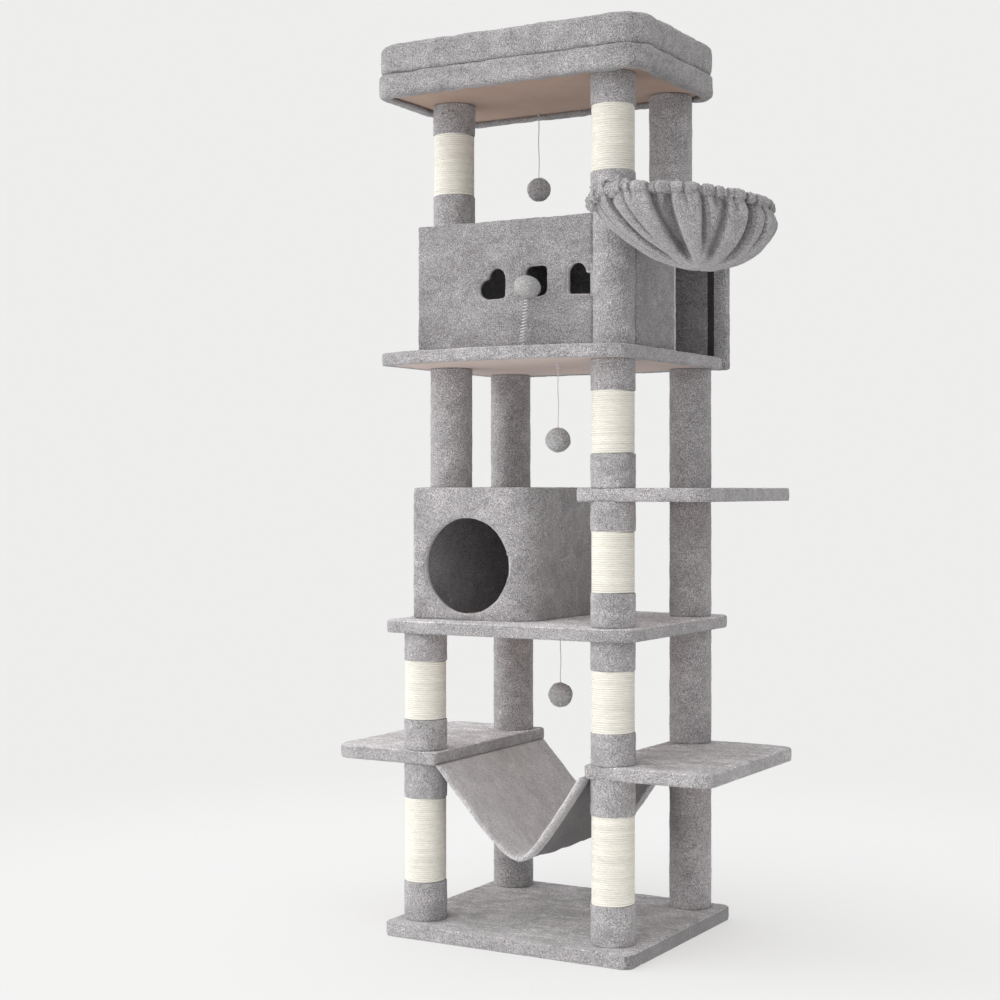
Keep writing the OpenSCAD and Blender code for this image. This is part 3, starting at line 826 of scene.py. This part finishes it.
def sling_lift(s, y, edge):
    """How far the cloth lies off the plain V: it sags and is creased between the hems."""
    swell = np.sin(math.pi * (s / s[-1]))[:, None]
    between = (edge - HAMMOCK_HEM)[None, :]
    grid_s, grid_y = np.meshgrid(s, y, indexing="ij")
    flat = np.stack([grid_s, grid_y, grid_s * 0], axis=2).reshape(-1, 3)
    folds = noise(flat, np.array([120, 42, 1]) * MM, 3).reshape(grid_s.shape)
    small = noise(flat, np.array([46, 20, 1]) * MM, 4).reshape(grid_s.shape)
    inner = np.clip(between / (30 * MM), 0, 1) * swell ** 0.7
    sag = 5 * MM * swell ** 1.5 * np.clip(between / (90 * MM), 0, 1) ** 0.8
    lift = 3.2 * MM * folds * inner + 1.2 * MM * small * (0.35 + 0.65 * inner) - sag
    return lift * np.clip(np.minimum(s, s[-1] - s) / (25 * MM), 0, 1)[:, None]


def sheet_faces(rows, columns):
    """Faces of a closed sheet: its upper side, its lower side and the four edges between them."""
    count = rows * columns
    faces = grid_faces(rows, columns, False) + grid_faces(rows, columns, False, count, flip=True)
    last = (rows - 1) * columns
    for c in range(columns - 1):
        faces.append((c + 1, c, count + c, count + c + 1))
        faces.append((last + c, last + c + 1, count + last + c + 1, count + last + c))
    for r in range(rows - 1):
        a, b = r * columns, (r + 1) * columns
        faces.append((a, b, count + b, count + a))
        a, b = a + columns - 1, b + columns - 1
        faces.append((b, a, count + a, count + b))
    return faces


def sling_mesh(front, back, top):
    """The sling from its front edge to its back edge, as rows along the V."""
    fine = np.linspace(*HAMMOCK_ENDS, 2001)
    height = sling_height(fine, top)
    along = np.concatenate([[0], np.cumsum(np.hypot(np.diff(fine), np.diff(height)))])
    s = np.linspace(0, along[-1], HAMMOCK_ROWS)
    x, z = np.interp(s, along, fine), np.interp(s, along, height)
    y = np.linspace(front, back, HAMMOCK_COLUMNS)
    edge = np.minimum(y - front, back - y)
    # The cloth is thick in the hem, pinched at its stitches and one layer between the hems
    layers = np.where(edge < HAMMOCK_HEM, HEM_LAYERS, 1.0)
    half = HAMMOCK_CLOTH * layers * np.sqrt(np.clip(edge / HEM_ROUND, 0.02, 1))
    half = half - STITCH_DEPTH * np.exp(-(((edge - HAMMOCK_HEM) / STITCH_WIDTH) ** 2))
    lift = sling_lift(s, y, edge)
    nx, nz = -np.gradient(z, s)[:, None], np.gradient(x, s)[:, None]
    sides = []
    for side in (1, -1):
        offset = lift + side * half[None, :]
        px = x[:, None] + nx * offset
        pz = np.minimum(z[:, None] + 4 * MM + nz * offset, top - 0.2 * MM)
        sides.append(np.stack([px, np.broadcast_to(y, px.shape), pz], axis=2).reshape(-1, 3))
    faces = sheet_faces(HAMMOCK_ROWS, HAMMOCK_COLUMNS)
    return mesh_from("hammock_sling", np.concatenate(sides), faces)


def add_hammock():
    low, high = np.array(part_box("hammock"))
    front, back = low[1] + 2 * MM, high[1] - 2 * MM
    mesh = sling_mesh(front, back, high[2])
    ruffle(mesh, 71, 0.35 * MM, 0.4 * MM)
    # The sling's lighter plush is painted light
    sling = add_piece("hammock_sling", mesh, painted_light_sling_plush, "tree", ["hammock"])

    # The hems, which get painted light
    def in_hem(x, y, z, nx, ny, nz):
        return (y < front + HAMMOCK_HEM) | (y > back - HAMMOCK_HEM)

    # Painted shade on the sling's underside, and painted light on its hems
    paint(mesh, (plush_shade, lambda x, y, z, nx, ny, nz: nz < -0.2), (painted_light_edge_plush, in_hem))


# Basket: a gathered bag hung from a ruffled rim that wraps the hoop

HOOP = 171 * MM
RIM_TILT = math.radians(5.3)
RIM_LOW_SIDE = math.radians(30)
RIM_ROLL = 10 * MM
RIM_SIDES = 24
BASKET_STEPS = 540  # round the rim and the bag
BAG_ROWS = 60
BAG_LEAN = 44 * MM
BAG_DEPTH = 126 * MM
BAG_FULLNESS = 1.12
CREASES = 42
# How far down the bag a crease reaches as a fold, and how deep and wide the fold is, in turn
FOLDS = [
    (0.96, 17 * MM, 21 * MM),
    (0.16, 6 * MM, 7 * MM),
    (0.62, 11 * MM, 14 * MM),
    (0.2, 7 * MM, 8 * MM),
    (0.9, 15 * MM, 19 * MM),
    (0.3, 8 * MM, 10 * MM),
]


def rim_frame():
    """Where the tilted rim's own frame is."""
    low, high = np.array(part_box("basket_hoop"))
    turn = Matrix.Rotation(RIM_LOW_SIDE, 4, "Z") @ Matrix.Rotation(RIM_TILT, 4, "Y")
    return Matrix.Translation((low + high) / 2) @ turn


def crease(i):
    """Where a crease of the gathered rim is, and its slant and size."""
    place, slant, size = lattice(np.array([[i, 3, 5], [i, 8, 2], [i, 4, 9]]), 77)
    return 2 * math.pi * (i + 0.34 * place) / CREASES, slant, size


def folds_down(angle, t, radius):
    """Depth of the folds that run down from the rim's creases. Every second one runs far."""
    total = 0
    for i in range(CREASES):
        at, slant, size = crease(i)
        reach, deep, wide = FOLDS[i % len(FOLDS)]
        reach = reach + 0.07 * size
        steep_side = -1 if i % 4 else 1
        off = beyond(angle, at + 0.16 * slant * t) * np.maximum(radius, 26 * MM) * steep_side
        width = np.where(off < 0, 3.2 * MM, wide * (0.75 + 0.25 * size))
        fade = np.clip((reach - t) / (0.3 * reach), 0, 1) ** 0.7
        fade = fade * (0.4 + 0.6 * np.clip(t / 0.09, 0, 1))
        total = total + deep * (1 + 0.2 * size) * fade * np.exp(-((np.abs(off) / width) ** 1.5))
    return total


def towards_rim(radius):
    """0 at the middle of the bag, where the folds have run out, and 1 from half way out."""
    return np.clip((radius - 30 * MM) / (55 * MM), 0, 1)


def bag_mesh():
    """The bag as a bowl with folds, whose top is tucked in under the rim."""
    theta = np.arange(BASKET_STEPS) / BASKET_STEPS * 2 * math.pi
    grid_t, grid_a = np.meshgrid(np.linspace(0, 1, BAG_ROWS), theta, indexing="ij")
    bend = math.pi / 2 * grid_t
    tucked = 9.5 * MM * np.exp(-((grid_t / 0.11) ** 3))
    radius = np.maximum((HOOP + RIM_ROLL) * np.cos(bend) ** BAG_FULLNESS - tucked, 0.2 * MM)
    depth = BAG_DEPTH * np.sin(bend) ** BAG_FULLNESS
    lift = 5 * MM - folds_down(grid_a, grid_t, radius) * towards_rim(radius)
    puffs = np.stack([np.cos(grid_a), np.sin(grid_a), grid_t], axis=2).reshape(-1, 3)
    swell = np.sin(math.pi * grid_t) ** 0.5
    lift = lift + 3.5 * MM * noise(puffs, 0.28, 21).reshape(lift.shape) * swell
    nr, nz = np.cos(bend) * 0.6 + 0.4 * (1 - grid_t), -np.sin(bend)
    size = np.hypot(nr, nz)
    radius = np.maximum(radius + lift * nr / size, 0.15 * MM)
    depth = depth - lift * nz / size
    x = radius * np.cos(grid_a) + BAG_LEAN * depth / BAG_DEPTH
    z = -depth - 3 * MM * (1 - grid_t)
    points = np.stack([x, radius * np.sin(grid_a), z], axis=2).reshape(-1, 3)
    surface = bpy.data.meshes.new("bag")
    faces = grid_faces(BAG_ROWS, BASKET_STEPS, True, flip=True)
    surface.from_pydata([tuple(p) for p in points], [], faces)
    bm = bmesh.new()
    bm.from_mesh(surface)
    bmesh.ops.remove_doubles(bm, verts=bm.verts, dist=0.5 * MM)
    open_edges = [e for e in bm.edges if e.is_boundary]
    bmesh.ops.holes_fill(bm, edges=[e for e in open_edges if e.verts[0].co.z < -BAG_DEPTH / 2])
    cloth = ("SOLIDIFY", {"thickness": 3.6 * MM, "offset": -1.0})
    return evaluated(mesh_of("bag", bm), cloth, ("SMOOTH", {"iterations": 1}))


def rim_mesh():
    """Cloth gathered in creases over the hoop. The bunches where it meets the tall post are
    separate balls.
    """
    theta = np.arange(BASKET_STEPS) / BASKET_STEPS * 2 * math.pi
    phi = np.arange(RIM_SIDES) / RIM_SIDES * 2 * math.pi
    grid_a, grid_p = np.meshgrid(theta, phi, indexing="ij")
    ring = np.stack([np.cos(grid_a), np.sin(grid_a), grid_p * 0.05], axis=2).reshape(-1, 3)
    puffs = noise(ring, 0.16, 9).reshape(grid_a.shape)
    ribs = np.sin(117 * grid_a + 3 * puffs + np.sin(2 * grid_p))
    roll = RIM_ROLL * 1.2 + 1.4 * MM * puffs + 0.6 * MM * ribs
    for i in range(CREASES):
        at, slant, size = crease(i)
        off = beyond(grid_a, at + 0.05 * slant * np.cos(grid_p)) * HOOP
        roll = roll - (6.2 + 1.8 * size) * MM * np.exp(-np.abs(off) / (3.4 * MM))
    x = (HOOP + roll * np.cos(grid_p)) * np.cos(grid_a)
    y = (HOOP + roll * np.cos(grid_p)) * np.sin(grid_a)
    faces = grid_faces(BASKET_STEPS, RIM_SIDES, True, flip=True)
    last = (BASKET_STEPS - 1) * RIM_SIDES
    for c in range(RIM_SIDES):
        beside = (c + 1) % RIM_SIDES
        faces.append((c, beside, last + beside, last + c))
    return mesh_from("rim", np.stack([x, y, roll * np.sin(grid_p)], axis=2).reshape(-1, 3), faces)


# Bunches of cloth where the rim passes the post: the angle on the rim, how far out and up from
# the hoop, and the radius, the last three in mm
BUNCHES = [
    (3.12, 4, -15, 19),
    (3.2, 1, 5, 16),
    (3.37, 3, -6, 17),
    (3.55, 2, 6, 14),
    (3.74, 3, -6, 13),
    (3.9, 2, 5, 12),
]


def bunch_mesh(k):
    angle, out, up, size = BUNCHES[k]
    reach = HOOP + out * MM
    centre = (reach * math.cos(angle), reach * math.sin(angle), up * MM)
    radii = [size * 0.8 * MM, size * 1.1 * MM, size * 0.95 * MM]
    return fuzzy_ball("bunch", centre, radii, (angle, (0, 0, 1)), 2.4 * MM, 50 + k, 5)


def add_basket():
    bm = bmesh.new()
    bm.from_mesh(facing_out(bag_mesh()))
    bm.from_mesh(rim_mesh())
    for k in range(len(BUNCHES)):
        bm.from_mesh(bunch_mesh(k))
    mesh = mesh_of("basket_cloth", bm)
    mesh.transform(rim_frame())
    ruffle(mesh, 81, 0.35 * MM, 0.3 * MM)
    bag = add_piece("basket_cloth", mesh, plush_soft, "tree", ["basket_bag"])
    to_rim = np.array(rim_frame().inverted())

    def creased(x, y, z):
        """How deep in a fold or a crease a point of the cloth is."""
        x, y, z = to_rim[:3, :3] @ np.array([x, y, z]) + to_rim[:3, 3:]
        drop = np.clip(-z / BAG_DEPTH, 0, 1)
        x = x - BAG_LEAN * drop
        angle, radius = np.arctan2(y, x), np.hypot(x, y)
        t = np.arcsin(drop ** (1 / BAG_FULLNESS)) / (math.pi / 2)
        depth = folds_down(angle, t, radius) * towards_rim(radius)
        rim = 0
        for i in range(CREASES):
            off = np.abs(beyond(angle, crease(i)[0])) * HOOP
            rim = rim + np.exp(-off / (3 * MM))
        return np.where(drop < 0.09, 14 * MM * rim, depth)

    # Painted shade in the bag's folds and the rim's creases, darker where they are deeper
    paint(
        mesh,
        (plush_fold, lambda x, y, z, nx, ny, nz: creased(x, y, z) > 5.5 * MM),
        (plush_deep_fold, lambda x, y, z, nx, ny, nz: creased(x, y, z) > 10 * MM),
    )


# Bed: a rolled band, a stuffed bolster and a cushion

BOLSTER_CORNER = 30 * MM  # from the bolster's sides to the middle of a seam across its corner
BOLSTER_SWELL = 3.0 * MM
BOLSTER_SEAM = 2.0 * MM
CUSHION_CROWN = 9 * MM


def bolster_mesh():
    """The bolster, puffed up and drawn in along a slanting seam across each of its corners."""
    low, high = np.array(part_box("bed_bolster"))
    mesh = softened(["bed_bolster"], 4.5 * MM, 26)
    p = coordinates(mesh)
    seam = 0
    for sx in (low[0] + BOLSTER_CORNER, high[0] - BOLSTER_CORNER):
        for sy in (low[1] + BOLSTER_CORNER, high[1] - BOLSTER_CORNER):
            side = np.sign([sx, sy - (low[1] + high[1]) / 2])
            offset = ((p[:, 0] - sx) * side[0] - (p[:, 1] - sy) * side[1]) / math.sqrt(2)
            near = np.hypot(p[:, 0] - sx, p[:, 1] - sy) < 75 * MM
            seam = seam + near * np.exp(-((offset / (3.4 * MM)) ** 2))
    push_out(mesh, BOLSTER_SWELL - BOLSTER_SEAM * np.clip(seam, 0, 1))
    ruffle(mesh, 95, 0.5 * MM, 2.0 * MM)
    return mesh


def cushion_mesh():
    """The cushion inside the bolster, with a crowned top."""
    low, high = np.array(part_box("bed_cushion"))
    mesh = softened(["bed_cushion"], 5 * MM, 12)
    p = coordinates(mesh)
    u = (p - (low + high) / 2) / ((high - low) / 2)
    crown = (1 - np.clip(np.abs(u[:, 0]), 0, 1) ** 4) * (1 - np.clip(np.abs(u[:, 1]), 0, 1) ** 4)
    p[:, 2] += np.where(u[:, 2] > 0, crown * CUSHION_CROWN, 0)
    move_to(mesh, p)
    ruffle(mesh, 98, 0.5 * MM, 1.6 * MM)
    return mesh


def add_bed():
    mesh = softened(["bed_band"], 4.5 * MM, 14)
    ruffle(mesh, 91, 0.5 * MM, 1.6 * MM)
    band = add_piece("bed_band_plush", mesh, plush_bed, "tree", ["bed_band"])
    mesh = bolster_mesh()
    bolster = add_piece("bed_bolster_plush", mesh, plush_bed, "tree", ["bed_bolster"])
    mesh = cushion_mesh()
    cushion = add_piece("bed_cushion_plush", mesh, plush_bed, "tree", ["bed_cushion"])


# Stage and light

BACKDROP_SEEN, BACKDROP_CAST = (0.855, 0.855, 0.84645), (0.60, 0.60, 0.605)
FLOOR_SEEN, FLOOR_CAST = (0.485, 0.485, 0.480), (0.66, 0.66, 0.66)
FLOOR_GREY = (0.36, 0.36, 0.36)
FLOOR_HALF = 6
FLOOR_DROP = 0.6 * MM  # just under the base, so that they don't touch
FLOOR_NEAR, FLOOR_FAR = 0.9, 2.6
# Each light's direction, its spread in degrees and its strength
LIGHTS = {
    "key": ((-0.66, -0.72, 0.26), 120, 1.5),
    "left": ((-1.0, -0.25, 0.5), 50, 0.55),
    "overhead": ((-0.3, -0.3, 1.0), 140, 1.1),
    "fill": ((0, -1, -0.3), 120, 0.4),
}


def seen_and_cast(tree, seen, cast):
    """A colour that the camera sees as one grey and that lights the object as another."""
    path = tree.nodes.new("ShaderNodeLightPath")
    mix = tree.nodes.new("ShaderNodeMix")
    mix.data_type = "RGBA"
    tree.links.new(path.outputs["Is Camera Ray"], mix.inputs["Factor"])
    mix.inputs["A"].default_value = (*cast, 1)
    mix.inputs["B"].default_value = (*seen, 1)
    return mix.outputs["Result"]


def add_world():
    world = bpy.data.worlds.new("studio")
    bpy.context.scene.world = world
    world.use_nodes = True
    tree = world.node_tree
    backdrop = seen_and_cast(tree, BACKDROP_SEEN, BACKDROP_CAST)
    tree.links.new(backdrop, tree.nodes["Background"].inputs["Color"])


def floor_material():
    """A pale floor that takes the object's shadow and fades into the backdrop farther out."""
    material = bpy.data.materials.new("studio_floor")
    material.use_nodes = True
    tree = material.node_tree
    tree.nodes.clear()

    def add(kind, *links):
        node = tree.nodes.new(kind)
        for socket, output in links:
            tree.links.new(output, node.inputs[socket])
        return node

    diffuse = add("ShaderNodeBsdfDiffuse")
    diffuse.inputs["Color"].default_value = (*FLOOR_GREY, 1)
    glow = add("ShaderNodeEmission", ("Color", seen_and_cast(tree, FLOOR_SEEN, FLOOR_CAST)))
    lit = add("ShaderNodeAddShader", (0, diffuse.outputs[0]), (1, glow.outputs[0]))
    distance = add("ShaderNodeVectorMath", (0, add("ShaderNodeTexCoord").outputs["Object"]))
    distance.operation = "LENGTH"
    fade = add("ShaderNodeMapRange", ("Value", distance.outputs["Value"]))
    fade.interpolation_type = "SMOOTHSTEP"
    fade.inputs["From Min"].default_value = FLOOR_NEAR
    fade.inputs["From Max"].default_value = FLOOR_FAR
    clear = add("ShaderNodeBsdfTransparent")
    mix = add(
        "ShaderNodeMixShader",
        (0, fade.outputs[0]),
        (1, lit.outputs[0]),
        (2, clear.outputs[0]),
    )
    add("ShaderNodeOutputMaterial", ("Surface", mix.outputs[0]))
    return material


def add_floor():
    signs = ((-1, -1), (1, -1), (1, 1), (-1, 1))
    corners = [(x * FLOOR_HALF, y * FLOOR_HALF, -FLOOR_DROP) for x, y in signs]
    mesh = mesh_from("studio_floor", corners, [(0, 1, 2, 3)])
    mesh.materials.append(floor_material())
    new_object("studio_floor", mesh)


def add_light(name, direction, spread, strength):
    """A broad soft light from that direction, as far away as the sun."""
    data = bpy.data.lights.new(name, "SUN")
    data.angle = math.radians(spread)
    data.energy = strength
    light = new_object(name, data)
    light.rotation_euler = Vector(direction).to_track_quat("Z", "Y").to_euler()


add_camera()
bpy.context.scene.view_settings.view_transform = "Standard"
dress_nodes()
for number in (1, 2, 3):
    add_pompom(number)
add_spring_toy()
for index, shelf_name in enumerate(SHELVES):
    add_shelf(shelf_name, 10 * index + 1)
add_house("house_1", 201)
add_house("house_2", 211)
for storey in (1, 2, 3, 4, 5):
    add_sleeves(storey)
    add_sisal(storey)
add_hammock()
add_basket()
add_bed()
add_world()
add_floor()
for light_name, (direction, spread, strength) in LIGHTS.items():
    add_light(light_name, direction, spread, strength)
